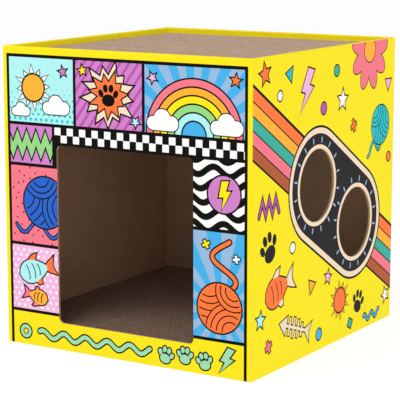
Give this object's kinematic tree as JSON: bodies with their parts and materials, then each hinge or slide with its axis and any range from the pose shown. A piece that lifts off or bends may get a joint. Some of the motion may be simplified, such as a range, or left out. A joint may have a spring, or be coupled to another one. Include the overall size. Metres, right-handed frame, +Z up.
{
  "type": "cardboard cat house",
  "caption": "Cube-shaped printed cardboard cat house with a door, round peep holes in one side and lift-out scratch pads on its roof and floor.",
  "frame": {"origin": "centre of the house's footprint, on the ground", "axes": "+Z up, -Y out of the front wall with the door, +X out of the wall with the peep holes"},
  "size_m": [0.38, 0.4, 0.4],
  "materials": {
    "printed_board": "satin printed corrugated board, yellow with flat line-art panels",
    "kraft_board": "matt plain kraft corrugated board",
    "scratch_pad": "matt cut edges of glued corrugated strips"
  },
  "bodies": {
    "carton": {"front_wall": "printed_board", "right_wall": "printed_board", "back_wall": "printed_board", "left_wall": "printed_board", "glue_flap": "kraft_board", "front_rim_flap": "printed_board", "right_rim_flap": "printed_board", "back_rim_flap": "printed_board", "left_rim_flap": "printed_board", "front_base_flap": "kraft_board", "back_base_flap": "kraft_board", "front_support": "kraft_board", "back_support": "kraft_board"},
    "shelf": {"shelf": "kraft_board"},
    "top_pad": {"top_scratch_pad": "scratch_pad"},
    "floor_pad": {"floor_scratch_pad": "scratch_pad"},
    "left_base": {"left_base_flap": "printed_board"},
    "right_base": {"right_base_flap": "printed_board"}
  },
  "joints": [
    {"name": "shelf_lift", "type": "slide", "parent": "carton", "child": "shelf", "axis": [0, 0, 1], "range_m": [0, 0.06]},
    {"name": "top_pad_lift", "type": "slide", "parent": "shelf", "child": "top_pad", "axis": [0, 0, 1], "range_m": [0, 0.06]},
    {"name": "floor_pad_lift", "type": "slide", "parent": "carton", "child": "floor_pad", "axis": [0, 0, 1], "range_m": [0, 0.32]},
    {"name": "left_base_fold", "type": "hinge", "parent": "carton", "child": "left_base", "pos_m": [-0.1867, 0, 0], "axis": [0, 1, 0], "range_deg": [0, 90]},
    {"name": "right_base_fold", "type": "hinge", "parent": "carton", "child": "right_base", "pos_m": [0.1867, 0, 0], "axis": [0, -1, 0], "range_deg": [0, 90]}
  ]
}
